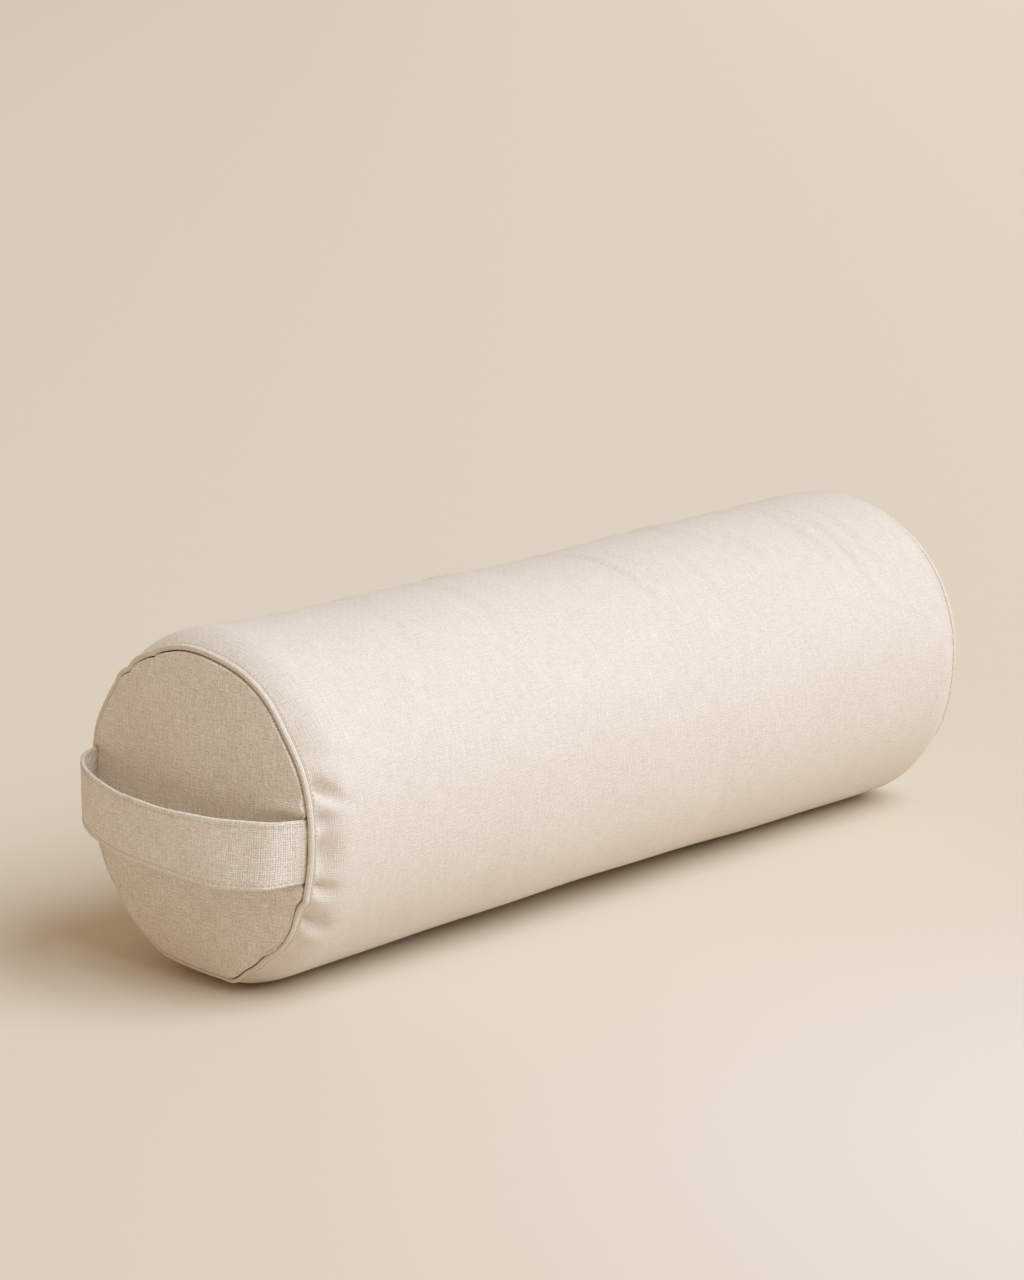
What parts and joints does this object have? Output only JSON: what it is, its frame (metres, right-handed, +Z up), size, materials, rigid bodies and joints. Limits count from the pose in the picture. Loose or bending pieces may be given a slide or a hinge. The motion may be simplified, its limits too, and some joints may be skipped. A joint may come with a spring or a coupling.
{
  "type": "yoga bolster",
  "caption": "Round canvas yoga bolster with piped end seams, domed end panels, a carry strap on one end, a back zip and a lined fill.",
  "frame": {"origin": "middle of the flat on which the bolster rests, halfway between the end seams", "axes": "+X along the bolster, away from the end with the carry strap; +Z up; +Y towards the side with the zip"},
  "size_m": [0.7235, 0.2196, 0.2283],
  "materials": {
    "canvas": "natural linen and cotton canvas, matte plain weave",
    "piping_cord": "twisted cotton cord",
    "zip_tape": "fine woven polyester tape",
    "zip_coil": "moulded nylon monofilament, satin",
    "zip_metal": "tumbled zinc with a satin nickel plate",
    "liner_cotton": "unbleached cotton sheeting",
    "fill_fibre": "loose cotton batting"
  },
  "bodies": {
    "cushion": {"barrel_panel": "canvas", "front_end_panel": "canvas", "rear_end_panel": "canvas", "front_piping": "canvas", "rear_piping": "canvas", "front_piping_cord": "piping_cord", "rear_piping_cord": "piping_cord", "handle_root_left": "canvas", "handle_root_right": "canvas", "zip_tape_upper": "zip_tape", "zip_tape_lower": "zip_tape", "zip_coil_upper": "zip_coil", "zip_coil_lower": "zip_coil", "zip_top_stop": "zip_metal", "zip_bottom_stop": "zip_metal", "liner_tube": "liner_cotton", "liner_front_disc": "liner_cotton", "liner_rear_disc": "liner_cotton", "fill_core": "fill_fibre"},
    "strap": {"handle_strap": "canvas"},
    "slider": {"zip_slider": "zip_metal"},
    "pull": {"zip_pull": "zip_metal"}
  },
  "joints": [
    {"name": "strap_swing", "type": "hinge", "parent": "cushion", "child": "strap", "pos_m": [-0.335, 0, 0.1121], "axis": [0, 0.9978, 0.0664], "range_deg": [-25, 25], "stiffness_Nm_per_rad": 0.08},
    {"name": "zip_travel", "type": "slide", "parent": "cushion", "child": "slider", "axis": [-1, 0, 0], "range_m": [0, 0.4728]},
    {"name": "pull_swing", "type": "hinge", "parent": "slider", "child": "pull", "pos_m": [0.2364, 0.10734, 0.1465], "axis": [0, 0.2588, -0.9659], "range_deg": [0, 180]}
  ]
}
